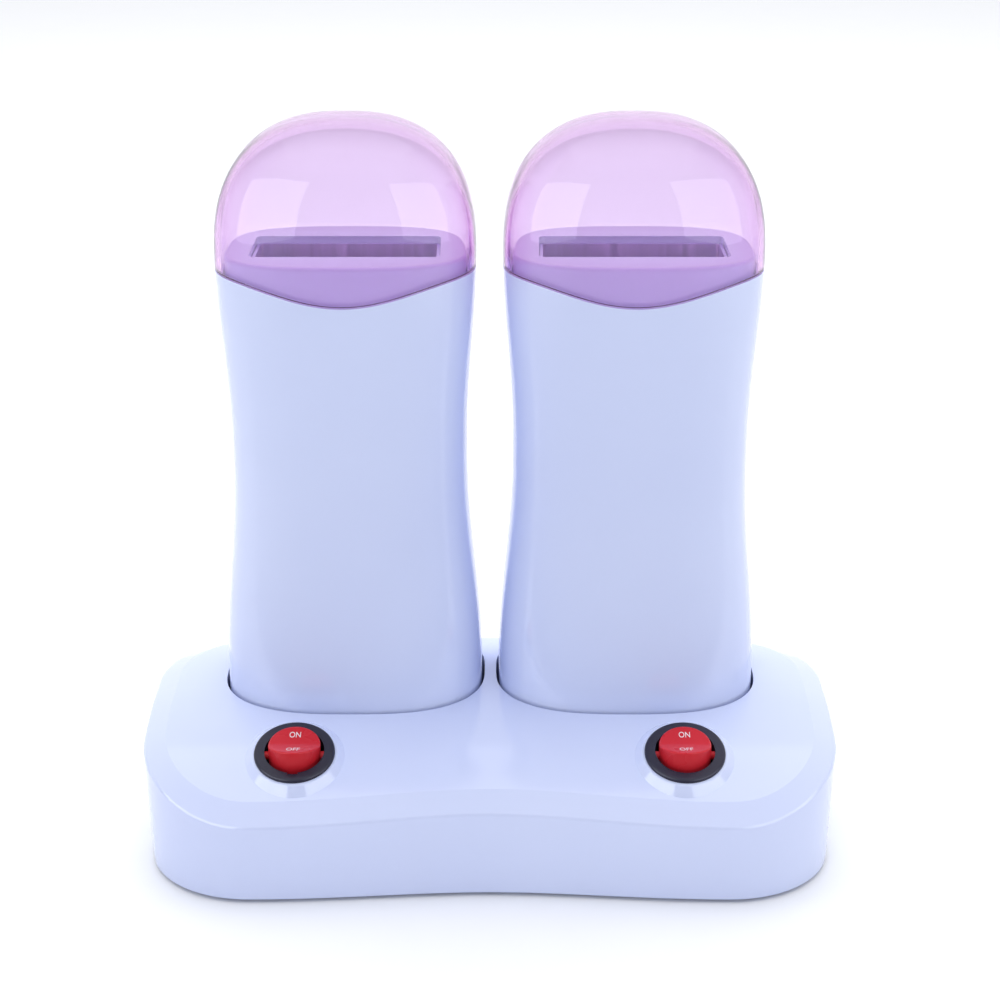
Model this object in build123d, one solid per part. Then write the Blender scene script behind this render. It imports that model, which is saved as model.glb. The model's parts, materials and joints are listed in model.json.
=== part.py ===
from build123d import *
import os
from math import asin, cos, pi, radians, sin, sqrt, tan

# A double roll-on wax heater: a docking base with two rocker switches, and two hand-held
# heaters that stand in its wells, each with a cartridge slot and a lift-off lid.
# Millimetres. X is right, Y is back, Z is up. The origin is on the floor under the middle of the base.

os.makedirs("parts", exist_ok=True)

# ---------------------------------------------------------------- driving dimensions: base
base_width = 200.0
base_depth = 101.0
base_height = 41.5            # floor to the flat part of the top
front_edge_height = 26.0      # floor to the foot of the sloping front
crest_y = 6.0                 # where the flat top starts to fall towards the front
back_edge_height = 39.1       # floor to the back edge of the top
back_crest_y = 24.0           # where the flat top starts to fall towards the back
front_corner_radius = 32.0
back_corner_radius = 36.0
front_dip = 4.0               # how far the middle of the front lies behind its two lobes
wall_lean = 1.5               # how far the foot of the walls lies inside their top
base_wall = 2.2
band_width = 6.5              # sloping band round the top, seen from above
band_drop = 2.2
edge_round = 1.0
foot_height = 1.6
shell_lift = 1.2              # gap between the floor and the shell's rim
cover_thickness = 2.2
cover_gap = 0.25

# ---------------------------------------------------------------- driving dimensions: wells and heaters
heater_gap = 5.0              # between the two heaters where they are widest
heater_y = 18.0               # axis of the heaters behind the middle of the base
well_floor = 19.0             # floor to the face that a heater stands on
well_clearance = 0.8
cup_wall = 1.8
plan_power = 2.9              # squareness of the heater's rounded plan

foot_width = 76.0             # heater at its widest, low down
foot_depth = 56.0
foot_level = 46.0
waist_width = 68.0
waist_depth = 51.5
waist_low = 110.0
waist_high = 118.0
rim_width = 73.8
rim_depth = 55.0
rim_level = 174.0
shell_wall = 2.2
bottom_round = 5.0
shoulder_side = 168.4         # top edge of the shell at the sides
shoulder_front = 161.8        # and at the middle of the front and back

collar_top = 172.8
collar_wall = 2.0
collar_gap = 0.2              # between the collar and the shell around it
collar_skirt = 12.0           # how deep the collar reaches into the shell
collar_plate = 2.4

lid_wall = 1.6
lid_top = 210.4
lid_dome_level = 172.0        # where the lid starts to close in
lid_width_power = 2.45
lid_depth_power = 3.0
lid_seat_gap = 0.3

# ---------------------------------------------------------------- driving dimensions: inside a heater
cartridge_width = 51.0        # free width of the wax chamber
cartridge_depth = 22.0
chamber_wall = 0.9
chamber_bottom = 68.0
chamber_round = 1.0
chamber_rim_below = 2.0       # chamber rim below the collar's face
slot_gap = 0.2
plate_width = 34.0            # heating plates
plate_height = 50.0
plate_thickness = 4.0
plate_low = 88.0
clamp_thickness = 0.8
clamp_height = 9.0
clamp_gap = 0.15
thermostat_radius = 7.0
thermostat_depth = 4.6
fuse_radius = 2.2
fuse_length = 12.0
support_rim = 5.0
support_plate = 3.0
support_gap = 0.2
support_wall = 1.5
socket_wall = 2.6             # round the dock block
socket_roof = 4.0             # above the tips of the dock pins
socket_flange = 2.0
screw_radius = 1.4
screw_head_radius = 2.8
screw_head_height = 1.6
shell_boss_radius = 4.4
shell_screw_level = 32.0
shell_screw_length = 20.0
shell_screw_seat = 9.0        # screw heads sit this far behind the split between the shells

# ---------------------------------------------------------------- driving dimensions: dock, inlet, switches
dock_width = 20.0
dock_depth = 10.0
dock_proud = 6.0              # dock block above the well floor
dock_gap = 0.4
dock_pin_radius = 1.2
dock_pin_spacing = 10.0
dock_pin_proud = 6.0
contact_bore_gap = 0.05
contact_wall = 0.8

inlet_width = 20.0
inlet_height = 12.0
inlet_length = 18.0
inlet_z = 10.4
inlet_recess_depth = 11.0
inlet_recess_width = 15.8
inlet_recess_height = 8.4
inlet_pin_radius = 1.18
inlet_pin_spacing = 8.6
inlet_pin_free = 9.0
inlet_tail = 5.0

switch_x = 55.4
switch_y = -30.1
switch_tilt = 20.0
boss_margin = 0.7             # flat top of the switch boss round the bezel
boss_proud = 2.0              # switch boss above the slope at its middle
boss_depth = 5.0              # the boss widens by as much as it is deep
bezel_radius = 11.5
bezel_height = 1.1
bezel_round = 0.8
bezel_lip = 1.7               # bezel beyond the switch body
switch_body_depth = 12.0
switch_hole_gap = 0.2
bezel_bore = 8.5
bezel_bore_depth = 2.6        # below the boss; the pivots of the cap turn in its wall
notch_width = 3.0             # the mark at the front of the left bezel
notch_reach = 1.7             # how far it reaches out from the bore
notch_depth = 0.5
switch_wall = 0.8
cavity_depth = 9.0
cap_gap = 1.1                 # round the cap, so that it can tilt
cap_rise = 1.75               # middle of the cap above the bezel
cap_skirt = 3.0
cap_v_angle = 12.5            # each half of the cap rises outwards by this
rocker_travel = 31.0
pivot_below_bezel = 2.0
pivot_radius = 1.2
pivot_gap = 0.05
blade_width = 4.8
blade_thickness = 0.8
blade_length = 6.5
blade_spacing = 8.0

lead_radius = 1.0
post_radius = 3.6
cover_screw_length = 12.0
cover_screw_inset = 11.6      # from the sides of the base
cover_screw_y = 21.0
rubber_foot_radius = 6.0
rubber_foot_inset_x = 22.0
rubber_foot_inset_y = 18.5

# ---------------------------------------------------------------- sizes that follow from those above
heater_pitch = foot_width + heater_gap
boss_radius = bezel_radius + boss_margin
boss_foot_radius = boss_radius + boss_depth
switch_body_radius = bezel_radius - bezel_lip
cavity_radius = switch_body_radius - switch_wall
cap_radius = bezel_bore - cap_gap
socket_width = dock_width + 2 * (dock_gap + socket_wall)
socket_depth = dock_depth + 2 * (dock_gap + socket_wall)
socket_height = dock_proud + dock_pin_proud + socket_roof
cover_screw_x = base_width / 2 - cover_screw_inset
cover_screws = [(side * cover_screw_x, end * cover_screw_y) for end in (-1, 1) for side in (-1, 1)]
rubber_foot_x = base_width / 2 - rubber_foot_inset_x
rubber_foot_y = base_depth / 2 - rubber_foot_inset_y
rubber_feet = [(side * rubber_foot_x, end * rubber_foot_y) for end in (-1, 1) for side in (-1, 1)]


# ---------------------------------------------------------------- shared shapes
def plan_point(half_width, half_depth, turn):
    """A point on a rounded oblong, squarer than an ellipse, at a share of a full turn from the right."""
    angle = 2 * pi * turn
    across = (abs(cos(angle)) / half_width) ** plan_power
    along = (abs(sin(angle)) / half_depth) ** plan_power
    reach = (across + along) ** (-1 / plan_power)
    return reach * cos(angle), reach * sin(angle)


def rounded_plan(half_width, half_depth, points=24):
    """Face on the XY plane with the rounded oblong for its edge, starting at the back."""
    ring = [plan_point(half_width, half_depth, 0.25 + step / points) for step in range(points)]
    return make_face(Spline(*ring, periodic=True))


def ease(value, low, high):
    """0 at low, 1 at high, with a level start and end."""
    share = min(max((value - low) / (high - low), 0), 1)
    return 0.5 - 0.5 * cos(pi * share)


def heater_size(level):
    """Width and depth of a heater's outside at a height above the floor."""
    if level < waist_low:
        share = 1 - ease(level, foot_level, waist_low)
        end_width, end_depth = foot_width, foot_depth
    else:
        share = ease(level, waist_high, rim_level)
        end_width, end_depth = rim_width, rim_depth
    return waist_width + (end_width - waist_width) * share, waist_depth + (end_depth - waist_depth) * share


def heater_body(inset, low, high):
    """The waisted body of a heater, moved inwards by inset, between two heights."""
    count = max(2, round((high - low) / 16))
    sections = []
    for step in range(count + 1):
        level = low + (high - low) * step / count
        width, depth = heater_size(level)
        sections.append(Pos(0, 0, level) * rounded_plan(width / 2 - inset, depth / 2 - inset))
    return loft(sections)


def lid_body(inset, low):
    """The lid's outside, or its inside when moved inwards by inset, from a height up to its closed top."""
    rise = lid_top - lid_dome_level - inset
    sections = []
    for level in (low, 0.5 * (low + lid_dome_level), lid_dome_level):
        width, depth = heater_size(level)
        sections.append(Pos(0, 0, level) * rounded_plan(width / 2 - inset, depth / 2 - inset))
    for share in (0.16, 0.32, 0.46, 0.59, 0.70, 0.79, 0.865, 0.925, 0.965, 0.99):
        half_width = (rim_width / 2 - inset) * (1 - share ** lid_width_power) ** (1 / lid_width_power)
        half_depth = (rim_depth / 2 - inset) * (1 - share ** lid_depth_power) ** (1 / lid_depth_power)
        sections.append(Pos(0, 0, lid_dome_level + rise * share) * rounded_plan(half_width, half_depth))
    return loft(sections)


def below_shoulder(gap):
    """Everything under the wavy line that parts a heater's shell from its lid, lowered by gap."""
    half = rim_width / 2
    high = shoulder_side - gap
    wave = []
    for step in range(-6, 7):
        drop = (shoulder_side - shoulder_front) * (1 + cos(radians(30 * step))) / 2
        wave.append((half * step / 6, high - drop))
    line = Spline(*wave, tangents=[(1, 0), (1, 0)])
    ends = Polyline((half, high), (2 * half, high), (2 * half, -half), (-2 * half, -half), (-2 * half, high),
                    (-half, high))
    outline = Plane.XZ * make_face(line + ends)
    return extrude(outline, rim_depth, both=True)


def oblong(width, depth, low, high, corner):
    """An upright block with rounded corners between two heights."""
    return Pos(0, 0, low) * extrude(RectangleRounded(width, depth, corner), high - low)


def rod(radius, low, high):
    """An upright round bar between two heights."""
    return Pos(0, 0, low) * Cylinder(radius, high - low, align=(Align.CENTER, Align.CENTER, Align.MIN))


def lead(points, bend=3.0):
    """An insulated lead along straight runs with rounded bends."""
    path = FilletPolyline(*points, radius=bend)
    start = Plane(origin=path @ 0, z_dir=path % 0)
    return sweep(start * Circle(lead_radius), path=path)


nodes = {}


def add(name, *solids):
    """Keeps one or more separate solids as a named node."""
    nodes[name] = solids[0] if len(solids) == 1 else Compound(children=list(solids))


# ---------------------------------------------------------------- base: outer form
def base_outline(inset):
    """Plan of the base moved inwards by inset: straight back and sides, round corners, dipped front."""
    half_width = base_width / 2 - inset
    back = base_depth / 2 - inset
    front = -base_depth / 2 + inset
    front_corner = front_corner_radius - inset
    back_corner = back_corner_radius - inset
    front_x = half_width - front_corner
    back_x = half_width - back_corner
    front_y = front + front_corner
    back_y = back - back_corner
    edges = [
        Spline((-front_x, front), (0, front + front_dip), (front_x, front), tangents=((1, 0), (1, 0))),
        CenterArc((front_x, front_y), front_corner, 270, 90),
        Line((half_width, front_y), (half_width, back_y)),
        CenterArc((back_x, back_y), back_corner, 0, 90),
        Line((back_x, back), (-back_x, back)),
        CenterArc((-back_x, back_y), back_corner, 90, 90),
        Line((-half_width, back_y), (-half_width, front_y)),
        CenterArc((-front_x, front_y), front_corner, 180, 90),
    ]
    return make_face(edges)


def base_prism(inset, low, high):
    """The base's walls, leaning in towards their foot, between two heights."""
    def at(level):
        return Pos(0, 0, level) * base_outline(inset + wall_lean * (1 - level / base_height))
    return loft([at(low), at(high)], ruled=True)


def arc_radius(run, drop):
    """Radius of an arc that starts level and falls by drop over run."""
    return (run ** 2 + drop ** 2) / (2 * drop)


slope_run = crest_y + base_depth / 2
slope_radius = arc_radius(slope_run, base_height - front_edge_height)
back_run = base_depth / 2 - back_crest_y
back_radius = arc_radius(back_run, base_height - back_edge_height)


def slope_height(y):
    """Height of the sloping front's surface at a distance back from the middle."""
    return base_height - slope_radius + sqrt(slope_radius ** 2 - (crest_y - y) ** 2)


def top_arc(start_y, sign, radius, run, skin):
    """Points of one falling arc of the top, lowered squarely by skin: start, middle and end."""
    end = asin((run + 4) / radius)
    centre_z = base_height - radius
    reach = radius - skin
    return [(start_y + sign * reach * sin(turn), centre_z + reach * cos(turn)) for turn in (0, end / 2, end)]


def under_top(skin):
    """Everything under the base's top surface, lowered squarely by skin."""
    front = top_arc(crest_y, -1, slope_radius, slope_run, skin)
    back = top_arc(back_crest_y, 1, back_radius, back_run, skin)
    edges = [
        ThreePointArc(*front),
        Line(front[0], back[0]),
        ThreePointArc(*back),
        *Polyline(back[2], (back[2][0], -1), (front[2][0], -1), front[2]).edges(),
    ]
    return extrude(Plane.YZ * make_face(edges), base_width, both=True)


def switch_place(side):
    """Where a switch sits: its own XY plane is the top of its boss."""
    return Pos(side * switch_x, switch_y, slope_height(switch_y) + boss_proud) * Rot(switch_tilt, 0, 0)


def heater_place(side):
    return Pos(side * heater_pitch / 2, heater_y, 0)


def between_walls_and_top(solid):
    """Edges where the leaning walls of the base meet what lies over them."""
    found = []
    for face in solid.faces():
        if abs(face.normal_at(face.center()).Z) > 0.12:
            continue
        for edge in face.edges():
            level = abs((edge @ 1).Z - (edge @ 0).Z) < 0.9 * edge.length
            if level and edge.center().Z > shell_lift + 5:
                found.append(edge)
    return found


# ---------------------------------------------------------------- base: top shell
outer = base_prism(0, shell_lift, base_height + 5) & under_top(0)
outer = chamfer(between_walls_and_top(outer), band_drop, band_width)
outer = fillet(between_walls_and_top(outer), edge_round)

cavity = base_prism(base_wall, shell_lift - 1, base_height + 5) & under_top(base_wall + band_drop)
top_shell = outer - cavity
cup_floor = well_floor - cup_wall
pocket_width = foot_width + 2 * well_clearance
pocket_depth = foot_depth + 2 * well_clearance
cup_plan = rounded_plan(pocket_width / 2 + cup_wall, pocket_depth / 2 + cup_wall)
pocket_plan = rounded_plan(pocket_width / 2, pocket_depth / 2)
for side in (-1, 1):
    top_shell += heater_place(side) * Pos(0, 0, cup_floor) * extrude(cup_plan, base_height) & outer
post_low = foot_height + cover_thickness + 0.1
for x, y in cover_screws:
    top_shell += Pos(x, y, 0) * rod(post_radius, post_low, base_height) & outer
for side in (-1, 1):
    boss = Cone(boss_foot_radius, boss_radius, boss_depth, align=(Align.CENTER, Align.CENTER, Align.MAX))
    boss = fillet(boss.edges().sort_by(Axis.Z)[-1], 0.6)
    top_shell += switch_place(side) * boss
    top_shell -= switch_place(side) * rod(switch_body_radius + switch_hole_gap, -30, 5)
    top_shell -= heater_place(side) * Pos(0, 0, well_floor) * extrude(pocket_plan, base_height)
    dock_hole = oblong(dock_width + 2 * cover_gap, dock_depth + 2 * cover_gap, 0, base_height, 1)
    top_shell -= heater_place(side) * dock_hole
for x, y in cover_screws:
    top_shell -= Pos(x, y, 0) * rod(screw_radius + 0.1, 0, cover_screw_length + 4)
inlet_hole = Box(inlet_width + 2 * cover_gap, 10, inlet_height + 2 * cover_gap)
top_shell -= Pos(0, base_depth / 2, inlet_z) * inlet_hole
add("base_top_shell", top_shell)

# ---------------------------------------------------------------- base: cover, feet and screws
cover_low = foot_height
cover_high = cover_low + cover_thickness
cover_inset = base_wall + cover_gap + wall_lean
cover = Pos(0, 0, cover_low) * extrude(base_outline(cover_inset), cover_thickness)
for x, y in cover_screws:
    cover -= Pos(x, y, 0) * rod(screw_radius + 0.15, 0, base_height)
    cover -= Pos(x, y, 0) * rod(screw_head_radius + 0.2, 0, cover_low + 1.0)
add("base_bottom_cover", cover)
add("rubber_feet", *[Pos(x, y, 0) * rod(rubber_foot_radius, 0, foot_height) for x, y in rubber_feet])


def cover_screw(x, y):
    head_low = cover_low - 0.5
    screw = rod(screw_head_radius, head_low, cover_low + 1.0)
    screw += rod(screw_radius, cover_low, cover_low + cover_screw_length)
    screw -= oblong(0.9, 4.0, head_low, head_low + 0.7, 0.4)
    screw -= oblong(4.0, 0.9, head_low, head_low + 0.7, 0.4)
    return Pos(x, y, 0) * screw


add("cover_screws", *[cover_screw(x, y) for x, y in cover_screws])

# ---------------------------------------------------------------- base: mains inlet
inlet_face = base_depth / 2 - wall_lean * (1 - inlet_z / base_height) - 0.2
inlet = Pos(0, inlet_face, inlet_z) * Box(inlet_width, inlet_length, inlet_height,
                                          align=(Align.CENTER, Align.MAX, Align.CENTER))
recess_plan = Plane((0, inlet_face, inlet_z), x_dir=(1, 0, 0), z_dir=(0, 1, 0))
lobe_shift = (inlet_recess_width - inlet_recess_height) / 2
lobe = Circle(inlet_recess_height / 2)
lobes = Pos(-lobe_shift, 0) * lobe + Pos(lobe_shift, 0) * lobe
between_lobes = Rectangle(2 * lobe_shift, inlet_recess_height - 1.2)
inlet -= extrude(recess_plan * (lobes + between_lobes), -inlet_recess_depth)
for side in (-1, 1):
    bore = recess_plan * Pos(side * inlet_pin_spacing / 2, 0)
    inlet -= extrude(bore * Circle(inlet_pin_radius), -inlet_length)
add("power_inlet", inlet)

pin_front = inlet_face - inlet_recess_depth + inlet_pin_free
pin_back = inlet_face - inlet_length - inlet_tail
inlet_pins = []
for side in (-1, 1):
    place = Pos(side * inlet_pin_spacing / 2, pin_front, inlet_z) * Rot(90, 0, 0)
    pin = place * rod(inlet_pin_radius, 0, pin_front - pin_back)
    inlet_pins.append(fillet(pin.edges().sort_by(Axis.Y)[-1], 0.8))
add("inlet_pins", *inlet_pins)

# ---------------------------------------------------------------- base: dock connectors
dock_top = well_floor + dock_proud
dock_flange_low = cup_floor - 2.0
for side, name in ((-1, "left"), (1, "right")):
    block = oblong(dock_width, dock_depth, dock_flange_low, dock_top, 1)
    block += oblong(dock_width + 4, dock_depth + 4, dock_flange_low, cup_floor, 1)
    pins = []
    for end in (-1, 1):
        spot = Pos(end * dock_pin_spacing / 2, 0, 0)
        block -= spot * rod(dock_pin_radius, 0, base_height)
        pin = spot * rod(dock_pin_radius, dock_flange_low - 4, dock_top + dock_pin_proud)
        pins.append(heater_place(side) * fillet(pin.edges().sort_by(Axis.Z)[-1], 0.8))
    add(f"{name}_dock_block", heater_place(side) * block)
    add(f"{name}_dock_pins", *pins)

# ---------------------------------------------------------------- base: rocker switches
pivot_z = bezel_height - pivot_below_bezel


def switch_housing(marked):
    """The switch's body and bezel; a marked bezel has a small notch at its front."""
    bezel = fillet(rod(bezel_radius, 0, bezel_height).edges().sort_by(Axis.Z)[-1], bezel_round)
    housing = bezel + rod(switch_body_radius, -switch_body_depth, 0)
    housing -= rod(bezel_bore, -bezel_bore_depth - 1, bezel_height + 1)
    housing -= rod(cavity_radius, -cavity_depth, -bezel_bore_depth)
    socket = Pos(0, 0, pivot_z) * Rot(0, 90, 0) * Cylinder(pivot_radius + pivot_gap, 2 * bezel_bore + 1.4)
    housing -= socket
    for end in (-1, 1):
        slit = Box(blade_width, blade_thickness, 20)
        housing -= Pos(0, end * blade_spacing / 2, -switch_body_depth - 5) * slit
    if marked:
        notch_middle = bezel_bore + notch_reach - notch_width / 2
        housing -= Pos(0, -notch_middle, bezel_height) * rod(notch_width / 2, -notch_depth, 1)
    return housing


def rocker_cap():
    """The cap half way between its two stops, then tilted to ON: its rear half pressed."""
    middle = bezel_height + cap_rise
    reach = cap_radius + 1
    rise = middle + reach * tan(radians(cap_v_angle))
    side_view = make_face(Polyline((-reach, -cap_skirt), (reach, -cap_skirt), (reach, rise), (0, middle),
                                   (-reach, rise), close=True))
    side_view = fillet(side_view.vertices().sort_by_distance((0, middle))[0], 3.0)
    cap = extrude(Plane.YZ * side_view, reach, both=True) & rod(cap_radius, -cap_skirt, rise)
    stub = Pos(0, 0, pivot_z) * Rot(0, 90, 0) * Cylinder(pivot_radius, 2 * bezel_bore + 1.0)
    tongue = oblong(4, 2.4, -cap_skirt - 3, -cap_skirt + 0.5, 0.6)
    cap = cap + stub + tongue
    return Pos(0, 0, pivot_z) * Rot(-rocker_travel / 2, 0, 0) * Pos(0, 0, -pivot_z) * cap


for side, name in ((-1, "left"), (1, "right")):
    add(f"{name}_switch_housing", switch_place(side) * switch_housing(name == "left"))
    add(f"{name}_rocker_cap", switch_place(side) * rocker_cap())
    blades = []
    for end in (-1, 1):
        blade = Box(blade_width, blade_thickness, blade_length + 2,
                    align=(Align.CENTER, Align.CENTER, Align.MIN))
        spot = Pos(0, end * blade_spacing / 2, -switch_body_depth - blade_length)
        blades.append(switch_place(side) * spot * blade)
    add(f"{name}_switch_terminals", *blades)


# ---------------------------------------------------------------- base: leads
def blade_tip(side, end):
    """The point just below a switch terminal's tip."""
    drop = switch_body_depth + blade_length + lead_radius + 0.2
    tip = switch_place(side) * Pos(0, end * blade_spacing / 2, -drop)
    return tip.position


lead_z = cover_high + lead_radius + 1.4
tail_y = pin_back - lead_radius - 0.3
live = []
neutral = []
switched = []
for side in (-1, 1):
    tip = blade_tip(side, -1)
    start_x = side * 1.2 + inlet_pin_spacing / 2
    live.append(lead([
        (start_x, tail_y, inlet_z),
        (start_x, tail_y, lead_z),
        (start_x, tip.Y - 8, lead_z),
        (tip.X, tip.Y - 8, lead_z),
        (tip.X, tip.Y, lead_z),
        (tip.X, tip.Y, tip.Z),
    ], 1.5))
for side in (-1, 1):
    pin_x = side * heater_pitch / 2 - side * dock_pin_spacing / 2
    start_x = side * 1.2 - inlet_pin_spacing / 2
    neutral.append(lead([
        (start_x, tail_y, inlet_z),
        (start_x, tail_y, lead_z + 2.4),
        (start_x, 6, lead_z + 2.4),
        (pin_x, 6, lead_z + 2.4),
        (pin_x, heater_y - dock_pin_radius - lead_radius - 0.3, lead_z + 2.4),
    ], 1.5))
    tip = blade_tip(side, 1)
    outer_x = side * heater_pitch / 2 + side * dock_pin_spacing / 2
    switched.append(lead([
        (tip.X, tip.Y, tip.Z),
        (tip.X, tip.Y, lead_z + 2.4),
        (tip.X, -2, lead_z + 2.4),
        (outer_x, -2, lead_z + 2.4),
        (outer_x, heater_y - dock_pin_radius - lead_radius - 0.3, lead_z + 2.4),
    ], 1.5))
add("live_leads", *live)
add("neutral_leads", *neutral)
add("switched_leads", *switched)

# ---------------------------------------------------------------- heater parts, about the heater's own axis
chamber_top = collar_top - chamber_rim_below
chamber_width = cartridge_width + 2 * chamber_wall
chamber_depth = cartridge_depth + 2 * chamber_wall
chamber_corner = chamber_round + chamber_wall
socket_top = well_floor + socket_height
floor_top = well_floor + shell_wall
contact_radius = dock_pin_radius + contact_bore_gap
contact_outer = contact_radius + contact_wall
boss_x = heater_size(shell_screw_level)[0] / 2 - shell_wall - shell_boss_radius + 1.0


def forward(x, level, radius, start, length):
    """A round bar that runs forwards from a distance behind the split between the shells."""
    return Pos(x, start, level) * Rot(90, 0, 0) * rod(radius, 0, length)


def front_shell():
    """Front half of the casing: it meets the rear half in the plane through the heater's axis."""
    shell = heater_body(0, well_floor, rim_level)
    shell = fillet(shell.edges().sort_by(Axis.Z)[0], bottom_round)
    shell -= heater_body(shell_wall, floor_top, rim_level + 1)
    front = Box(2 * rim_width, rim_depth, 500, align=(Align.CENTER, Align.MAX, Align.CENTER))
    shell = shell & front & below_shoulder(0)
    room = heater_body(shell_wall / 2, floor_top - 0.5, waist_low)
    for side in (-1, 1):
        shell += forward(side * boss_x, shell_screw_level, shell_boss_radius, 0, foot_depth) & room
    return shell - oblong(socket_width + 2 * cover_gap, socket_depth + 2 * cover_gap, 0, floor_top + 1, 1)


def drilled_front(shell):
    """The front shell with blind pilot holes, a little deeper than its screws reach."""
    reach = shell_screw_length - shell_screw_seat
    for side in (-1, 1):
        shell -= forward(side * boss_x, shell_screw_level, screw_radius + 0.1, 1, reach + 2)
    return shell


def drilled_rear(shell):
    """The rear shell with through holes, and wells from outside for the screw heads."""
    head_well_radius = screw_head_radius + 0.3
    for side in (-1, 1):
        shell -= forward(side * boss_x, shell_screw_level, screw_radius + 0.3, foot_depth, foot_depth + 1)
        head_well = foot_depth - shell_screw_seat
        shell -= forward(side * boss_x, shell_screw_level, head_well_radius, foot_depth, head_well)
    return shell


def collar():
    low = shoulder_front - collar_skirt
    inset = shell_wall + collar_gap
    body = heater_body(inset, low, collar_top)
    body = fillet(body.edges().sort_by(Axis.Z)[-1], 1.0)
    body -= heater_body(inset + collar_wall, low - 1, collar_top - collar_plate)
    slot_width = chamber_width + 2 * slot_gap
    slot_depth = chamber_depth + 2 * slot_gap
    slot = oblong(slot_width, slot_depth, 0, collar_top + 1, chamber_corner)
    return body - slot


def lid():
    shape = lid_body(0, shoulder_front - 4) - lid_body(lid_wall, shoulder_front - 5)
    return shape - below_shoulder(-lid_seat_gap)


def chamber():
    shape = oblong(chamber_width, chamber_depth, chamber_bottom - chamber_wall, chamber_top, chamber_corner)
    return shape - oblong(cartridge_width, cartridge_depth, chamber_bottom, chamber_top + 1, chamber_round)


def heating_plate(sign):
    plate_y = sign * (chamber_depth / 2 + plate_thickness / 2)
    return Pos(0, plate_y, plate_low + plate_height / 2) * Box(plate_width, plate_thickness, plate_height)


def clamp(level):
    wrapped = RectangleRounded(chamber_width, chamber_depth, chamber_corner)
    wrapped += Rectangle(plate_width, chamber_depth + 2 * plate_thickness)
    band = offset(wrapped, clamp_gap + clamp_thickness) - offset(wrapped, clamp_gap)
    return Pos(0, 0, level) * extrude(band, clamp_height)


def support():
    """Bracket that carries the chamber on the floor of the shell."""
    low = chamber_bottom - chamber_wall - support_plate
    high = chamber_bottom + support_rim
    width = chamber_width + 2 * support_gap
    depth = chamber_depth + 2 * support_gap
    body = oblong(width + 2 * support_wall, depth + 2 * support_wall, low, high, chamber_corner + 1)
    body -= oblong(width, depth, low + support_plate, high + 1, chamber_corner)
    for side in (-1, 1):
        body += Pos(side * 21, 0, 0) * oblong(4, 18, floor_top, low + 0.5, 1)
    return body


def socket():
    body = oblong(socket_width, socket_depth, well_floor, socket_top, 1)
    body += oblong(socket_width + 5, socket_depth + 5, floor_top + 0.1, floor_top + 0.1 + socket_flange, 1)
    body -= oblong(dock_width + 2 * dock_gap, dock_depth + 2 * dock_gap, 0, dock_top + dock_gap, 1)
    for end in (-1, 1):
        body -= Pos(end * dock_pin_spacing / 2, 0, 0) * rod(contact_outer, well_floor, socket_top + 1)
    return body


def contact():
    sleeve = rod(contact_outer, dock_top + dock_gap, socket_top + 2)
    return sleeve - rod(contact_radius, 0, dock_top + dock_pin_proud + 1)


def shell_screw(side):
    """Screw from the rear shell into the front shell."""
    seat = shell_screw_seat
    screw = forward(side * boss_x, shell_screw_level, screw_radius, seat + 0.5, shell_screw_length)
    head_start = seat + screw_head_height
    screw += forward(side * boss_x, shell_screw_level, screw_head_radius, head_start, screw_head_height)
    cross = Pos(side * boss_x, head_start, shell_screw_level)
    return screw - cross * Box(4, 1.6, 0.8) - cross * Box(0.8, 1.6, 4)


def thermostat():
    disc = Rot(0, 90, 0) * rod(thermostat_radius, 0, thermostat_depth)
    place = Pos(chamber_width / 2 + 0.1, 0, chamber_bottom + support_rim + thermostat_radius + 1)
    return place * disc


def thermal_fuse():
    low = chamber_bottom + support_rim + 1
    return Pos(-chamber_width / 2 - fuse_radius - 0.2, 0, 0) * rod(fuse_radius, low, low + fuse_length)


def heater_leads():
    start = socket_top + 2 + lead_radius + 0.2
    side_x = chamber_width / 2 + support_gap + support_wall + lead_radius + 0.4
    spot = dock_pin_spacing / 2
    fuse_low = chamber_bottom + support_rim + 1
    to_fuse = lead([
        (-spot, 0, start), (-spot, 0, start + 5), (-spot, -14, start + 5),
        (-side_x, -14, start + 5), (-side_x, -14, chamber_bottom - 6), (-side_x, 0, chamber_bottom - 6),
        (-side_x, 0, fuse_low - 0.3),
    ], 2.0)
    to_stat = lead([
        (spot, 0, start), (spot, 0, start + 5), (spot, -14, start + 5),
        (side_x, -14, start + 5), (side_x, -14, chamber_bottom - 6), (side_x, 0, chamber_bottom - 6),
        (side_x, 0, fuse_low - 0.3),
    ], 2.0)
    return to_fuse, to_stat


half_shell = front_shell()
parts = {
    "front_shell": [drilled_front(half_shell)],
    "rear_shell": [drilled_rear(mirror(half_shell, about=Plane.XZ))],
    "collar": [collar()],
    "lid": [lid()],
    "wax_chamber": [chamber()],
    "front_heating_plate": [heating_plate(-1)],
    "rear_heating_plate": [heating_plate(1)],
    "heater_clamps": [clamp(plate_low + 6), clamp(plate_low + plate_height - 6 - clamp_height)],
    "thermostat": [thermostat()],
    "thermal_fuse": [thermal_fuse()],
    "chamber_support": [support()],
    "bottom_socket": [socket()],
    "socket_contacts": [Pos(end * dock_pin_spacing / 2, 0, 0) * contact() for end in (-1, 1)],
    "shell_screws": [shell_screw(side) for side in (-1, 1)],
    "heater_leads": list(heater_leads()),
}
for side, name in ((-1, "left"), (1, "right")):
    for piece, solids in parts.items():
        add(f"{name}_{piece}", *[heater_place(side) * solid for solid in solids])

for name, shape in nodes.items():
    export_step(shape, f"parts/{name}.step")
    print(name, round(shape.volume, 1), shape.is_valid)
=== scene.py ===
import json
from math import cos, pi, radians, sin, sqrt, tan

import bmesh
import bpy
from mathutils import Matrix, Vector


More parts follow.
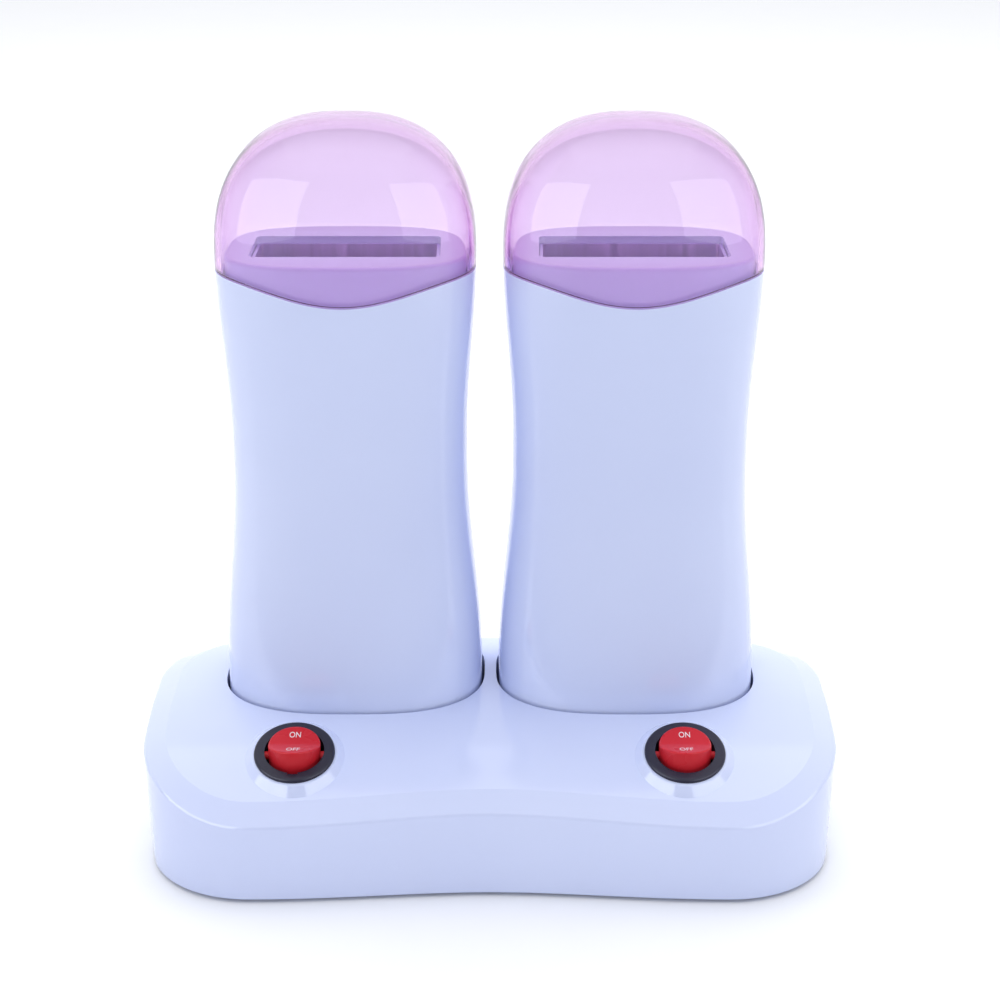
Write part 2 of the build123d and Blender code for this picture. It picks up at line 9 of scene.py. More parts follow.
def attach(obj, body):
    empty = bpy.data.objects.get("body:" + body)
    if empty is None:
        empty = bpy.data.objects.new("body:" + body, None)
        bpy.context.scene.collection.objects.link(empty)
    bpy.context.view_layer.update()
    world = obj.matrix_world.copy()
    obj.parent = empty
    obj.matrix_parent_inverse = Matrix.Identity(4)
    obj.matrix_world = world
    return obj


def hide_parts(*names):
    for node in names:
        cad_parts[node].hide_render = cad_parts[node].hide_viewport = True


# A double roll-on wax heater: a white docking base with two red rocker switches, and two white
# hand-held heaters under clear pink-lilac lids. The scene is in metres. The sizes listed below are in
# millimetres, and MM turns them into metres.

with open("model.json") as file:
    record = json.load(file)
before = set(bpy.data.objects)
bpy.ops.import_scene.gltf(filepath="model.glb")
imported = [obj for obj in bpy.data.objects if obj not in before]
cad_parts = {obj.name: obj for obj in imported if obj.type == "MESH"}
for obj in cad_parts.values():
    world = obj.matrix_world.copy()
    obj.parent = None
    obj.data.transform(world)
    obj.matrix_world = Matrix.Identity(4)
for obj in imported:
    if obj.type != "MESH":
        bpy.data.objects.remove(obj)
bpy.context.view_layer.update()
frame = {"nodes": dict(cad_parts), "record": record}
nodes = frame["nodes"]
scene = bpy.context.scene
MM = 0.001

# ---------------------------------------------------------------- sizes, in millimetres
HEATER_X = 40.5              # a heater's axis, to either side of the middle
HEATER_Y = 18.0
FOOT, FOOT_LEVEL = (76.0, 56.0), 46.0    # width and depth of a heater, and the levels they hold at
WAIST, WAIST_LOW, WAIST_HIGH = (68.0, 51.5), 110.0, 118.0
RIM, RIM_LEVEL = (73.8, 55.0), 174.0
WELL_FLOOR = 19.0
PLAN_POWER = 2.9             # 2 would be an ellipse; more is squarer
SHELL_WALL = 2.2
SHELL_EDGE = 0.15            # rounding of the casing's crisp edges
BOTTOM_ROUND = 5.0
SHOULDER_FRONT = 161.8       # height of the line between casing and lid, at the middle of the front
SHOULDER_SIDE = 168.4
LID_WALL = 1.6
LID_EDGE = 0.3
LID_GAP = 0.3                # from the casing to the lid
LID_DOME = 172.0             # where the lid's skirt turns into its dome
LID_TOP = 210.0
LID_WIDTH_POWER = 2.45       # roundness of the dome, across and front to back
LID_DEPTH_POWER = 3.0
SOCKET_HOLE = (26.5, 16.5)
SOCKET_HOLE_POWER = 14       # high, so that the hole's corners come out sharp
FLOOR_BAND = 8.0             # how far the casing's flat floor reaches in from its rounded edge
SCREW_LEVEL = 32.0
SCREW_X = 32.4
SCREW_SEAT = 9.0             # screw heads sit this far behind the split between the shells
SCREW_LENGTH = 20.0
SCREW_BOSS_RADIUS = 4.4
SCREW_HEAD_WELL_RADIUS = 3.1
SCREW_HOLE_RADIUS = 1.7
SCREW_PILOT_RADIUS = 1.5
SCREW_PILOT_SPARE = 1.0      # how far a pilot hole runs past its screw

BASE_TOP = 41.5
BASE_HALF_DEPTH = 50.5
SLOPE_CREST_Y = 6.0
SLOPE_DROP = 15.5            # from the flat top to the front edge
FOOT_PAD_RADIUS = 6.0
FOOT_PAD_HEIGHT = 1.6
FOOT_PAD_ROUND = 0.5
FOOT_PAD_HOLLOW = (3.4, 3.0, 0.3)    # radius at the floor, radius inside, and depth
FOOT_PAD_X = 78.0
FOOT_PAD_Y = 32.0

SWITCH_X = 55.4
SWITCH_Y = -30.1
SWITCH_TILT = radians(20)
BOSS_PROUD = 2.0
CAP_RADIUS = 7.4
CAP_MIDDLE = 2.85            # middle of the cap above the switch boss
CAP_SKIRT = 3.0              # how far a cap's wall reaches below the switch boss
CAP_UNDERSIDE = -3.1
CAP_UNDERSIDE_RADIUS = 7.104
CAP_ANGLE = radians(12.5)    # each half of the cap rises outwards by this
CAP_VALLEY = 0.7             # half width of the rounded valley between the halves
CAP_EDGE = 0.45              # rounding of the cap's rim
ROCKER_TRAVEL = radians(31)
PIVOT_HEIGHT = -0.9          # above the switch boss
PIVOT_RADIUS = 1.2
PIVOT_LENGTH = 18.0
LETTER_HEIGHT = 2.2
LETTER_DEPTH = 0.03
WORDS = (("ON", 3.2, 3.9), ("OFF", 3.8, -3.9))    # with their widths, and how far behind the valley

TURNS = 128                  # points round a heater's plan
CAP_TURNS = 96               # points round a rocker cap
CASING_ROWS = 44             # rows of points up a casing's side
LID_SKIRT_ROWS = 4
LID_DOME_ROWS = 40
CAP_TOP_ROWS = 20
CAP_EDGE_ROWS = 5
CAP_WALL_ROWS = 8
SETTLING_ROUNDS = 4          # enough for a height that depends on its own width to settle

# ---------------------------------------------------------------- camera
CAMERA_LENS = 79.2
CAMERA_SENSOR = 36
CAMERA_PLACE = (0.0029, -0.58965, 0.32337)
CAMERA_DOWN = 20.5           # degrees below level

SIDES = (("left", -1), ("right", 1))


# ---------------------------------------------------------------- finishes
def new_material(name):
    """A material, its node tree, its Principled shader and the object coordinates of its piece."""
    material = bpy.data.materials.new(name)
    material.use_nodes = True
    tree = material.node_tree
    shader = tree.nodes["Principled BSDF"]
    place = tree.nodes.new("ShaderNodeTexCoord")
    return material, tree, shader, place.outputs["Object"]


def noise(tree, place, scale, detail=2.0, roughness=0.5):
    """A noise pattern in the piece's own space; scale is how many features there are to a metre."""
    pattern = tree.nodes.new("ShaderNodeTexNoise")
    pattern.inputs["Scale"].default_value = scale
    pattern.inputs["Detail"].default_value = detail
    pattern.inputs["Roughness"].default_value = roughness
    tree.links.new(place, pattern.inputs["Vector"])
    return pattern.outputs["Fac"]


def spread(tree, value, low, high, start=0.3, end=0.7):
    """Maps a pattern's middle range onto a range of values."""
    ranged = tree.nodes.new("ShaderNodeMapRange")
    ranged.inputs["From Min"].default_value = start
    ranged.inputs["From Max"].default_value = end
    ranged.inputs["To Min"].default_value = low
    ranged.inputs["To Max"].default_value = high
    tree.links.new(value, ranged.inputs["Value"])
    return ranged.outputs["Result"]


def two_tone(tree, value, dark, light):
    """A colour that wanders between two tones with a pattern."""
    mix = tree.nodes.new("ShaderNodeMix")
    mix.data_type = "RGBA"
    mix.inputs["A"].default_value = (*dark, 1)
    mix.inputs["B"].default_value = (*light, 1)
    tree.links.new(value, mix.inputs["Factor"])
    return mix.outputs["Result"]


def relief(tree, shader, value, depth, strength=1.0):
    """Bump of a real depth in metres."""
    bump = tree.nodes.new("ShaderNodeBump")
    bump.inputs["Distance"].default_value = depth
    bump.inputs["Strength"].default_value = strength
    tree.links.new(value, bump.inputs["Height"])
    tree.links.new(bump.outputs["Normal"], shader.inputs["Normal"])


def moulded(name, dark, light, rough, grain, depth, gloss=0.5):
    """Injection-moulded plastic: a slow wander in tone, an uneven polish and a fine skin.

    The skin has a number of grains to a metre and a depth in metres."""
    material, tree, shader, place = new_material(name)
    slow = noise(tree, place, 14)
    tree.links.new(two_tone(tree, spread(tree, slow, 0, 1), dark, light), shader.inputs["Base Color"])
    polish = noise(tree, place, 90, 3)
    tree.links.new(spread(tree, polish, rough * 0.8, rough * 1.25), shader.inputs["Roughness"])
    shader.inputs["Specular IOR Level"].default_value = gloss
    relief(tree, shader, noise(tree, place, grain, 2), depth)
    return material


def metal(name, colour, rough, grain):
    """Plain metal with fine drawing marks."""
    material, tree, shader, place = new_material(name)
    stretch = tree.nodes.new("ShaderNodeMapping")
    stretch.inputs["Scale"].default_value = (1, 1, 0.06)
    tree.links.new(place, stretch.inputs["Vector"])
    marks = noise(tree, stretch.outputs["Vector"], grain, 4, 0.6)
    darker = tuple(0.85 * part for part in colour)
    tree.links.new(two_tone(tree, spread(tree, marks, 0, 1), darker, colour), shader.inputs["Base Color"])
    tree.links.new(spread(tree, marks, rough * 0.8, rough * 1.3), shader.inputs["Roughness"])
    shader.inputs["Metallic"].default_value = 1.0
    relief(tree, shader, marks, 0.00002)
    return material


def lid_plastic():
    """Clear pink-lilac plastic: it tints what is seen through it, and lamps shine through."""
    material, tree, shader, place = new_material("lid_plastic")
    shader.inputs["Transmission Weight"].default_value = 0.96
    shader.inputs["IOR"].default_value = 1.3
    tone = two_tone(tree, spread(tree, noise(tree, place, 20), 0, 1),
                    (0.895, 0.915, 0.945), (0.915, 0.935, 0.965))
    tree.links.new(tone, shader.inputs["Base Color"])
    tree.links.new(spread(tree, noise(tree, place, 120), 0.02, 0.05), shader.inputs["Roughness"])
    relief(tree, shader, noise(tree, place, 60, 1), 0.00002)
    clear = tree.nodes.new("ShaderNodeBsdfTransparent")
    clear.inputs["Color"].default_value = (0.92, 0.66, 0.80, 1)
    path = tree.nodes.new("ShaderNodeLightPath")
    mix = tree.nodes.new("ShaderNodeMixShader")
    tree.links.new(path.outputs["Is Shadow Ray"], mix.inputs["Fac"])
    tree.links.new(shader.outputs["BSDF"], mix.inputs[1])
    tree.links.new(clear.outputs["BSDF"], mix.inputs[2])
    tree.links.new(mix.outputs["Shader"], tree.nodes["Material Output"].inputs["Surface"])
    tint = tree.nodes.new("ShaderNodeVolumeAbsorption")
    tint.inputs["Color"].default_value = (0.79, 0.17, 0.79, 1)
    tint.inputs["Density"].default_value = 140
    tree.links.new(tint.outputs["Volume"], tree.nodes["Material Output"].inputs["Volume"])
    return material


finish = {
    "white_plastic": moulded("white_plastic", (0.66, 0.72, 0.97), (0.69, 0.75, 0.99), 0.09, 700, 0.000005),
    "black_plastic": moulded("black_plastic", (0.014, 0.013, 0.030), (0.021, 0.019, 0.042),
                             0.33, 1400, 0.00003, 0.3),
    "red_plastic": moulded("red_plastic", (0.57, 0.014, 0.024), (0.65, 0.019, 0.032),
                           0.30, 1200, 0.00002, 0.18),
    "grey_plastic": moulded("grey_plastic", (0.30, 0.31, 0.34), (0.36, 0.37, 0.40), 0.5, 900, 0.00005),
    "foot_rubber": moulded("foot_rubber", (0.02, 0.02, 0.02), (0.04, 0.04, 0.04), 0.75, 1500, 0.00008),
    "white_insulation": moulded("white_insulation", (0.70, 0.70, 0.68), (0.80, 0.80, 0.78),
                                0.45, 900, 0.00003),
    "brown_insulation": moulded("brown_insulation", (0.14, 0.05, 0.02), (0.18, 0.07, 0.03),
                                0.45, 900, 0.00003),
    "blue_insulation": moulded("blue_insulation", (0.02, 0.10, 0.42), (0.03, 0.14, 0.50),
                               0.45, 900, 0.00003),
    "black_insulation": moulded("black_insulation", (0.02, 0.02, 0.02), (0.04, 0.04, 0.04),
                                0.45, 900, 0.00003),
    "screw_steel": metal("screw_steel", (0.55, 0.55, 0.57), 0.30, 900),
    "pin_metal": metal("pin_metal", (0.66, 0.65, 0.62), 0.22, 900),
    "contact_brass": metal("contact_brass", (0.80, 0.58, 0.24), 0.28, 900),
    "chamber_metal": metal("chamber_metal", (0.74, 0.72, 0.98), 0.38, 700),
    "lid_plastic": lid_plastic(),
    "print_white": moulded("print_white", (0.78, 0.76, 0.78), (0.86, 0.84, 0.86), 0.5, 1500, 0.00001),
}
slot_of = {entry["node"]: entry["material_slot"] for entry in frame["record"]["subparts"]}


# ---------------------------------------------------------------- making pieces
def piece_from(form, name, body, slot, *stands_for, crease=None):
    """Turns a bmesh into a smooth-shaded piece that rides on a body and stands for CAD nodes."""
    mesh = bpy.data.meshes.new(name)
    form.to_mesh(mesh)
    form.free()
    mesh.shade_smooth()
    if crease is not None:
        mesh.set_sharp_from_angle(angle=radians(crease))
    piece = bpy.data.objects.new(name, mesh)
    scene.collection.objects.link(piece)
    mesh.materials.append(finish[slot])
    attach(piece, body)
    if stands_for:
        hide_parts(*stands_for)
    return piece


def even_shading(piece, keep_sharp=False):
    """Lets the large faces set the shading, so that narrow rounded edges stay crisp."""
    shading = piece.modifiers.new("even_shading", "WEIGHTED_NORMAL")
    shading.mode = "FACE_AREA"
    shading.weight = 50
    shading.keep_sharp = keep_sharp


def give_wall(piece, thickness):
    """Thickens a skin inwards."""
    wall = piece.modifiers.new("wall", "SOLIDIFY")
    wall.thickness = thickness * MM
    wall.offset = -1
    wall.use_even_offset = True


def soften(piece, width, segments):
    """Rounds the crisp edges of a piece."""
    soft = piece.modifiers.new("soft_edges", "BEVEL")
    soft.width = width * MM
    soft.segments = segments
    soft.limit_method = "ANGLE"
    soft.angle_limit = radians(50)


def turn_outwards(form, centre):
    """Makes all faces face away from a point inside, in millimetres."""
    bmesh.ops.recalc_face_normals(form, faces=form.faces)
    inside = Vector(centre) * MM
    lean = sum(face.calc_area() * face.normal.dot(face.calc_center_median() - inside)
               for face in form.faces)
    if lean < 0:
        bmesh.ops.reverse_faces(form, faces=form.faces)


def grown_ring(form, ring):
    """Extrudes a closed ring of vertices and gives the new ring in the same order."""
    edges = [form.edges.get((ring[step - 1], ring[step])) for step in range(len(ring))]
    grown = bmesh.ops.extrude_edge_only(form, edges=edges)["geom"]
    fresh = {item for item in grown if isinstance(item, bmesh.types.BMVert)}
    return [next(edge.other_vert(vert) for edge in vert.link_edges if edge.other_vert(vert) in fresh)
            for vert in ring]


def ring_form(rows, place, low_tip=None, high_tip=None, segments=TURNS):
    """A skin over rows that each give a point, in millimetres, for an angle; a tip closes an end."""
    form = bmesh.new()
    bmesh.ops.create_circle(form, segments=segments, radius=1)
    first = sorted(form.verts, key=lambda vert: vert.index)
    ring = first
    for number, row in enumerate(rows):
        if number:
            ring = grown_ring(form, ring)
        for step, vert in enumerate(ring):
            vert.co = place @ Vector(row(2 * pi * step / segments)) * MM
    for rim, tip in ((first, low_tip), (ring, high_tip)):
        if tip is not None:
            bmesh.ops.pointmerge(form, verts=grown_ring(form, rim), merge_co=place @ Vector(tip) * MM)
    return form


def circle_row(radius, level):
    return lambda angle: (radius * cos(angle), radius * sin(angle), level)


# ---------------------------------------------------------------- heater form
def plan_point(half_width, half_depth, angle, power=PLAN_POWER):
    """A point on a rounded oblong, squarer than an ellipse."""
    across = (abs(cos(angle)) / half_width) ** power
    along = (abs(sin(angle)) / half_depth) ** power
    reach = (across + along) ** (-1 / power)
    return reach * cos(angle), reach * sin(angle)


def ease(value, low, high):
    """0 at low, 1 at high, with a level start and end."""
    share = min(max((value - low) / (high - low), 0), 1)
    return 0.5 - 0.5 * cos(pi * share)


def heater_size(level):
    """Half width and half depth of a heater at a height above the floor."""
    if level < WAIST_LOW:
        share, end = 1 - ease(level, FOOT_LEVEL, WAIST_LOW), FOOT
    else:
        share, end = ease(level, WAIST_HIGH, RIM_LEVEL), RIM
    return [(waist + (reach - waist) * share) / 2 for waist, reach in zip(WAIST, end)]


def shoulder(x):
    """Height of the wavy line that parts a heater's shell from its lid."""
    return SHOULDER_FRONT + (SHOULDER_SIDE - SHOULDER_FRONT) * ease(abs(x), 0, RIM[0] / 2)


def heater_place(side):
    return Matrix.Translation((side * HEATER_X, HEATER_Y, 0))


def casing_rows(inset=0.0):
    """Rows up the outside of a heater's casing, from the socket's hole to the shoulder."""
    def under(angle):
        hole = plan_point(SOCKET_HOLE[0] / 2, SOCKET_HOLE[1] / 2, angle, SOCKET_HOLE_POWER)
        return (*hole, WELL_FLOOR + inset)

    def level_row(drawn_in, level):
        width, depth = heater_size(level)
        return lambda angle: (*plan_point(width - inset - drawn_in, depth - inset - drawn_in, angle), level)

    def climbing_row(share):
        def row(angle):
            low = WELL_FLOOR + BOTTOM_ROUND
            level = low + (RIM_LEVEL - low) * share
            for _ in range(SETTLING_ROUNDS):
                width, depth = heater_size(level)
                x, y = plan_point(width - inset, depth - inset, angle)
                level = low + (shoulder(x) - low) * share
            return x, y, level
        return row

    rows = [under]
    for step in range(4):
        rows.append(level_row(BOTTOM_ROUND + FLOOR_BAND * (1 - step / 3), WELL_FLOOR + inset))
    for step in range(1, 7):
        turn = step * pi / 12
        lift = (BOTTOM_ROUND - inset) * (1 - cos(turn))
        rows.append(level_row(BOTTOM_ROUND * (1 - sin(turn)), WELL_FLOOR + inset + lift))
    rows += [climbing_row(step / CASING_ROWS) for step in range(1, CASING_ROWS + 1)]
    return rows


def scratch_object(form, name):
    mesh = bpy.data.meshes.new(name)
    form.to_mesh(mesh)
    form.free()
    made = bpy.data.objects.new(name, mesh)
    scene.collection.objects.link(made)
    return made


def screw_bars(side, radius, near, far):
    """Two round bars where the casing's screws run, from near to far behind the heater's axis."""
    form = bmesh.new()
    for end in (-1, 1):
        middle = Vector((side * HEATER_X + end * SCREW_X, HEATER_Y + (near + far) / 2, SCREW_LEVEL)) * MM
        bmesh.ops.create_cone(form, cap_ends=True, segments=40, radius1=radius * MM, radius2=radius * MM,
                              depth=abs(far - near) * MM,
                              matrix=Matrix.Translation(middle) @ Matrix.Rotation(pi / 2, 4, "X"))
    return scratch_object(form, "bars")


def combine(piece, operation, other):
    """Adds a Boolean to a piece."""
    change = piece.modifiers.new(operation.lower(), "BOOLEAN")
    change.operation = operation
    change.solver = "EXACT"
    change.object = other


def settle(piece, *scratch):
    """Fixes a piece's modifiers into its mesh and clears away what they used."""
    bpy.context.view_layer.update()
    result = bpy.data.meshes.new_from_object(piece.evaluated_get(bpy.context.evaluated_depsgraph_get()))
    piece.modifiers.clear()
    old = piece.data
    piece.data = result
    bpy.data.meshes.remove(old)
    for other in scratch:
        bpy.data.objects.remove(other)


def screw_bosses(side, sign):
    """The round bosses inside a casing half that its screws run through."""
    bosses = screw_bars(side, SCREW_BOSS_RADIUS, 0, sign * FOOT[1])
    room = scratch_object(ring_form(casing_rows(SHELL_WALL / 2), heater_place(side), (0, 0, WELL_FLOOR),
                                    (0, 0, SHOULDER_FRONT)), "room")
    combine(bosses, "INTERSECT", room)
    settle(bosses, room)
    return bosses


def heater_casing(name, side):
    """Both halves of a heater's casing, parted in the plane through its axis."""
    for half, sign in (("front", -1), ("rear", 1)):
        form = ring_form(casing_rows(), heater_place(side))
        everything = form.verts[:] + form.edges[:] + form.faces[:]
        bmesh.ops.bisect_plane(form, geom=everything, dist=0.000001, plane_co=(0, HEATER_Y * MM, 0),
                               plane_no=(0, -sign, 0), clear_outer=True)
        turn_outwards(form, (side * HEATER_X, HEATER_Y, 100))
        piece = piece_from(form, f"{name}_{half}_casing", f"{name}_heater", "white_plastic",
                           f"{name}_{half}_shell")
        give_wall(piece, SHELL_WALL)
        soften(piece, SHELL_EDGE, 2)
        bosses = screw_bosses(side, sign)
        combine(piece, "UNION", bosses)
        if half == "front":
            tip = SCREW_SEAT - SCREW_LENGTH
            holes = [screw_bars(side, SCREW_PILOT_RADIUS, 1, tip - SCREW_PILOT_SPARE)]
        else:
            holes = [screw_bars(side, SCREW_HEAD_WELL_RADIUS, SCREW_SEAT, FOOT[1]),
                     screw_bars(side, SCREW_HOLE_RADIUS, -1, FOOT[1])]
        for hole in holes:
            combine(piece, "DIFFERENCE", hole)
        settle(piece, bosses, *holes)
        piece.data.shade_smooth()
        piece.data.set_sharp_from_angle(angle=radians(35))
        even_shading(piece, keep_sharp=True)


def lid_rows():
    """Rows up the outside of a lid, from its curved lower edge to its crown."""
    def skirt_row(share):
        def row(angle):
            level = LID_DOME
            for _ in range(SETTLING_ROUNDS):
                x, y = plan_point(*heater_size(level), angle)
                low = shoulder(x) + LID_GAP
                level = low + (LID_DOME - low) * share
            return x, y, level
        return row

    def dome_row(turn):
        rise = sin(turn) ** (2 / LID_WIDTH_POWER)
        width = heater_size(LID_DOME)[0] * (1 - rise ** LID_WIDTH_POWER) ** (1 / LID_WIDTH_POWER)
        depth = heater_size(LID_DOME)[1] * (1 - rise ** LID_DEPTH_POWER) ** (1 / LID_DEPTH_POWER)
        return lambda angle: (*plan_point(width, depth, angle), LID_DOME + (LID_TOP - LID_DOME) * rise)

    skirt = [skirt_row(step / LID_SKIRT_ROWS) for step in range(LID_SKIRT_ROWS + 1)]
    return skirt + [dome_row(step * pi / 2 / LID_DOME_ROWS) for step in range(1, LID_DOME_ROWS)]


def heater_lid(name, side):
    form = ring_form(lid_rows(), heater_place(side), high_tip=(0, 0, LID_TOP))
    turn_outwards(form, (side * HEATER_X, HEATER_Y, SHOULDER_SIDE))
    piece = piece_from(form, f"{name}_clear_lid", f"{name}_lid", "lid_plastic", f"{name}_lid")
    give_wall(piece, LID_WALL)
    soften(piece, LID_EDGE, 3)
    even_shading(piece)


# ---------------------------------------------------------------- rocker switches
def slope_height(y):
    """Height of the sloping front at a distance back from the middle."""
    run = SLOPE_CREST_Y + BASE_HALF_DEPTH
    radius = (run ** 2 + SLOPE_DROP ** 2) / (2 * SLOPE_DROP)
    return BASE_TOP - radius + sqrt(radius ** 2 - (SLOPE_CREST_Y - y) ** 2)


def cap_place(side):
    """Where a rocker cap sits, tilted to ON: its own XY plane is the top of the switch boss."""
    boss = Matrix.Translation((side * SWITCH_X, SWITCH_Y, slope_height(SWITCH_Y) + BOSS_PROUD))
    pivot = Matrix.Translation((0, 0, PIVOT_HEIGHT))
    tilt = Matrix.Rotation(-ROCKER_TRAVEL / 2, 4, "X")
    return boss @ Matrix.Rotation(SWITCH_TILT, 4, "X") @ pivot @ tilt @ pivot.inverted()


def cap_height(y):
    """Height of a cap's top: two halves that rise outwards from a rounded valley."""
    return CAP_MIDDLE + tan(CAP_ANGLE) * (sqrt(y * y + CAP_VALLEY ** 2) - CAP_VALLEY)


def cap_rows():
    """Rows over a cap from the middle of its top, round its rim, down its wall and under it."""
    def top_row(radius, drop):
        return lambda angle: (radius * cos(angle), radius * sin(angle),
                              cap_height(radius * sin(angle)) - drop)

    def wall_row(share):
        def row(angle):
            high = cap_height(CAP_RADIUS * sin(angle)) - CAP_EDGE
            return CAP_RADIUS * cos(angle), CAP_RADIUS * sin(angle), high + (-CAP_SKIRT - high) * share
        return row

    flat = CAP_RADIUS - CAP_EDGE
    rows = [top_row(flat * step / CAP_TOP_ROWS, 0) for step in range(1, CAP_TOP_ROWS + 1)]
    for step in range(1, CAP_EDGE_ROWS + 1):
        turn = step * pi / 2 / CAP_EDGE_ROWS
        rows.append(top_row(flat + CAP_EDGE * sin(turn), CAP_EDGE * (1 - cos(turn))))
    rows += [wall_row(step / CAP_WALL_ROWS) for step in range(1, CAP_WALL_ROWS + 1)]
    return rows + [circle_row(CAP_UNDERSIDE_RADIUS, CAP_UNDERSIDE)]


def rocker_cap(name, side):
    place = cap_place(side)
    form = ring_form(cap_rows(), place, (0, 0, CAP_MIDDLE), (0, 0, CAP_UNDERSIDE), CAP_TURNS)
    stub = place @ Matrix.Translation((0, 0, PIVOT_HEIGHT)) @ Matrix.Rotation(pi / 2, 4, "Y")
    to_metres = Matrix.Scale(MM, 4)
    bmesh.ops.create_cone(form, cap_ends=True, segments=32, radius1=PIVOT_RADIUS, radius2=PIVOT_RADIUS,
                          depth=PIVOT_LENGTH, matrix=to_metres @ stub)
    bmesh.ops.recalc_face_normals(form, faces=form.faces)
    piece = piece_from(form, f"{name}_rocker", f"{name}_rocker", "red_plastic",
                       f"{name}_rocker_cap", crease=40)
    even_shading(piece, keep_sharp=True)


def lettering(name, side, word, width, middle):
    """A printed word on a cap's top; middle is how far behind the valley its own middle lies."""
    curve = bpy.data.curves.new(word, "FONT")
    curve.body = word
    curve.extrude = 0.1
    writing = bpy.data.objects.new(word, curve)
    mesh = bpy.data.meshes.new_from_object(writing)
    bpy.data.objects.remove(writing)
    form = bmesh.new()
    form.from_mesh(mesh)
    bmesh.ops.remove_doubles(form, verts=form.verts, dist=0.00001)
    spans = [(min(vert.co[axis] for vert in form.verts), max(vert.co[axis] for vert in form.verts))
             for axis in (0, 1)]
    place = cap_place(side)
    for vert in form.verts:
        x = ((vert.co.x - spans[0][0]) / (spans[0][1] - spans[0][0]) - 0.5) * width
        y = ((vert.co.y - spans[1][0]) / (spans[1][1] - spans[1][0]) - 0.5) * LETTER_HEIGHT + middle
        lift = LETTER_DEPTH if vert.co.z > 0 else -LETTER_DEPTH
        vert.co = place @ Vector((x, y, cap_height(y) + lift)) * MM
    bmesh.ops.recalc_face_normals(form, faces=form.faces)
    piece_from(form, f"{name}_word_{word.lower()}", f"{name}_rocker", "print_white", crease=30)


def foot_pads():
    """Four rubber pads with rounded lower edges and a shallow hollow in the middle."""
    mouth, inner, depth = FOOT_PAD_HOLLOW
    whole = bmesh.new()
    for x in (-FOOT_PAD_X, FOOT_PAD_X):
        for y in (-FOOT_PAD_Y, FOOT_PAD_Y):
            rows = [circle_row(FOOT_PAD_RADIUS, level) for level in (FOOT_PAD_HEIGHT, FOOT_PAD_ROUND)]
            rows += [circle_row(FOOT_PAD_RADIUS - FOOT_PAD_ROUND * (1 - cos(turn)),
                                FOOT_PAD_ROUND * (1 - sin(turn)))
                     for turn in (pi / 8, pi / 4, 3 * pi / 8, pi / 2)]
            rows += [circle_row(mouth, 0), circle_row(inner, depth)]
            pad = ring_form(rows, Matrix.Translation((x, y, 0)), (0, 0, FOOT_PAD_HEIGHT), (0, 0, depth), 64)
            mesh = bpy.data.meshes.new("pad")
            pad.to_mesh(mesh)
            pad.free()
            whole.from_mesh(mesh)
            bpy.data.meshes.remove(mesh)
    bmesh.ops.recalc_face_normals(whole, faces=whole.faces)
    pads = piece_from(whole, "foot_pads", "base", "foot_rubber", "rubber_feet", crease=40)
    even_shading(pads, keep_sharp=True)


remade = {"rubber_feet"}
for name, side in SIDES:
    heater_casing(name, side)
    heater_lid(name, side)
    rocker_cap(name, side)
    for word, width, middle in WORDS:
        lettering(name, side, word, width, middle)
    remade |= {f"{name}_front_shell", f"{name}_rear_shell", f"{name}_lid", f"{name}_rocker_cap"}
foot_pads()

# ---------------------------------------------------------------- other CAD pieces keep their exact form
for node in sorted(set(nodes) - remade):
    nodes[node].data.materials.clear()
    nodes[node].data.materials.append(finish[slot_of[node]])


# ---------------------------------------------------------------- studio
def stage_sheet(name, size, middle):
    """A flat sheet on the studio floor."""
    form = bmesh.new()
    bmesh.ops.create_grid(form, x_segments=1, y_segments=1, size=0.5,
                          matrix=Matrix.Translation(middle) @ Matrix.Diagonal((*size, 1, 1)))
    sheet = scratch_object(form, name)
    return sheet


def paper(name, dark, light):
    material, tree, shader, place = new_material(name)
    tree.links.new(two_tone(tree, noise(tree, place, 30), dark, light), shader.inputs["Base Color"])
    shader.inputs["Roughness"].default_value = 0.9
    return material


def shaded_paper(name, inner, outer):
    """Paper that goes from dark in the middle to white at the sides, over two distances sideways."""
    material, tree, shader, place = new_material(name)
    apart = tree.nodes.new("ShaderNodeSeparateXYZ")
    tree.links.new(place, apart.inputs["Vector"])
    aside = tree.nodes.new("ShaderNodeMath")
    aside.operation = "ABSOLUTE"
    tree.links.new(apart.outputs["X"], aside.inputs[0])
    share = spread(tree, aside.outputs["Value"], 0, 1, inner, outer)
    tone = two_tone(tree, share, (0.05, 0.05, 0.06), (0.93, 0.93, 0.94))
    tree.links.new(tone, shader.inputs["Base Color"])
    shader.inputs["Roughness"].default_value = 0.9
    return material


# Only reflections see the card. It gives the glossy walls their tone, which is darker in the middle.
floor = stage_sheet("floor", (12, 12), (0, 0, 0))
floor.data.materials.append(paper("white_paper", (0.93, 0.93, 0.94), (0.95, 0.95, 0.96)))
card = stage_sheet("dark_card", (1.1, 1.5), (0, -0.85, 0.0005))
card.data.materials.append(shaded_paper("dark_paper", 0.16, 0.52))
card.visible_camera = False
card.visible_diffuse = False
card.visible_shadow = False
card.visible_transmission = False

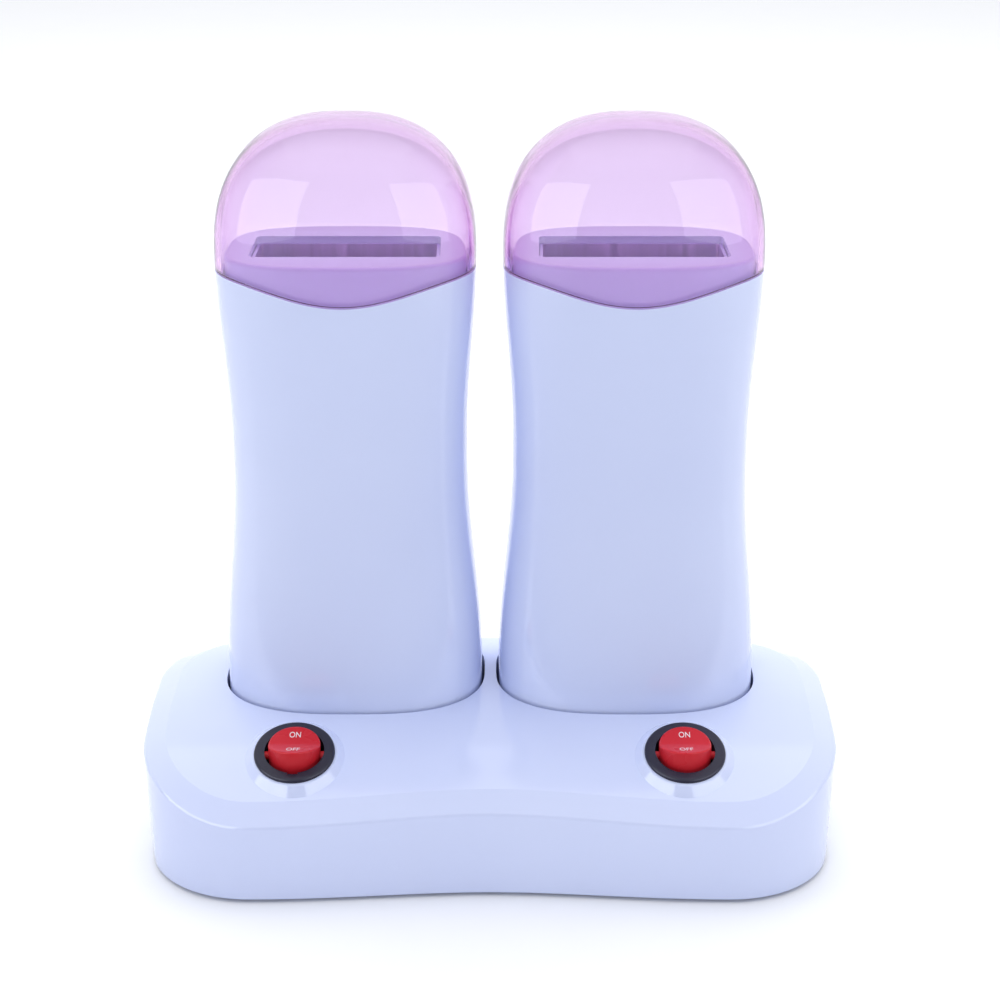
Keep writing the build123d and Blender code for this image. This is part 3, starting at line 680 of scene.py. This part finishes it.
# The room round the floor is white behind the object and overhead, and dim low down in front.
world = bpy.data.worlds.new("studio")
scene.world = world
world.use_nodes = True
sky = world.node_tree
around = sky.nodes.new("ShaderNodeTexCoord")
parts = sky.nodes.new("ShaderNodeSeparateXYZ")
sky.links.new(around.outputs["Generated"], parts.inputs["Vector"])
behind = spread(sky, parts.outputs["Y"], 0, 1, -0.55, 0.1)
above = spread(sky, parts.outputs["Z"], 0, 1, 0.55, 0.85)
lit = sky.nodes.new("ShaderNodeMath")
lit.operation = "MAXIMUM"
sky.links.new(behind, lit.inputs[0])
sky.links.new(above, lit.inputs[1])
room = two_tone(sky, lit.outputs["Value"], (0.10, 0.11, 0.14), (0.97, 0.98, 1.0))
sky.links.new(room, sky.nodes["Background"].inputs["Color"])
sky.nodes["Background"].inputs["Strength"].default_value = 1.1


def softbox(name, place, target, width, height, brightness, lights_matt=True, mirrored=True):
    """A soft rectangular lamp that faces a target; brightness is in white levels."""
    lamp = bpy.data.lights.new(name, "AREA")
    lamp.shape = "RECTANGLE"
    lamp.size = width
    lamp.size_y = height
    lamp.energy = brightness * pi * width * height
    lamp.color = (0.93, 0.96, 1.0)
    holder = bpy.data.objects.new(name, lamp)
    scene.collection.objects.link(holder)
    holder.location = place
    holder.rotation_euler = (Vector(target) - Vector(place)).to_track_quat("-Z", "Y").to_euler()
    holder.visible_diffuse = lights_matt
    holder.visible_glossy = mirrored
    holder.visible_transmission = False


# The two at the sides show only in reflections; the last three light only matt surfaces.
softbox("softbox_left", (-0.68, -0.62, 0.38), (0, 0, 0.2), 1.1, 0.72, 4.8, lights_matt=False)
softbox("softbox_right", (0.68, -0.62, 0.38), (0, 0, 0.2), 1.1, 0.72, 3.9, lights_matt=False)
softbox("softbox_top", (0, 0.15, 1.4), (0, 0, 0.1), 1.4, 1.2, 0.96)
softbox("softbox_front", (-0.25, -1.0, 0.50), (0, 0, 0.1), 0.7, 0.7, 1.15, mirrored=False)
softbox("softbox_fill", (0.5, -0.9, 0.4), (0, 0, 0.1), 0.7, 0.7, 0.35, mirrored=False)
softbox("softbox_back", (0, 0.75, 1.0), (0, 0.6, 0), 1.6, 1.0, 1.0, mirrored=False)

lens = bpy.data.cameras.new("camera")
lens.lens = CAMERA_LENS
lens.sensor_width = CAMERA_SENSOR
lens.clip_start = 0.01
camera = bpy.data.objects.new("camera", lens)
scene.collection.objects.link(camera)
camera.location = CAMERA_PLACE
camera.rotation_euler = (radians(90 - CAMERA_DOWN), 0, 0)
scene.camera = camera
scene.view_settings.view_transform = "Standard"
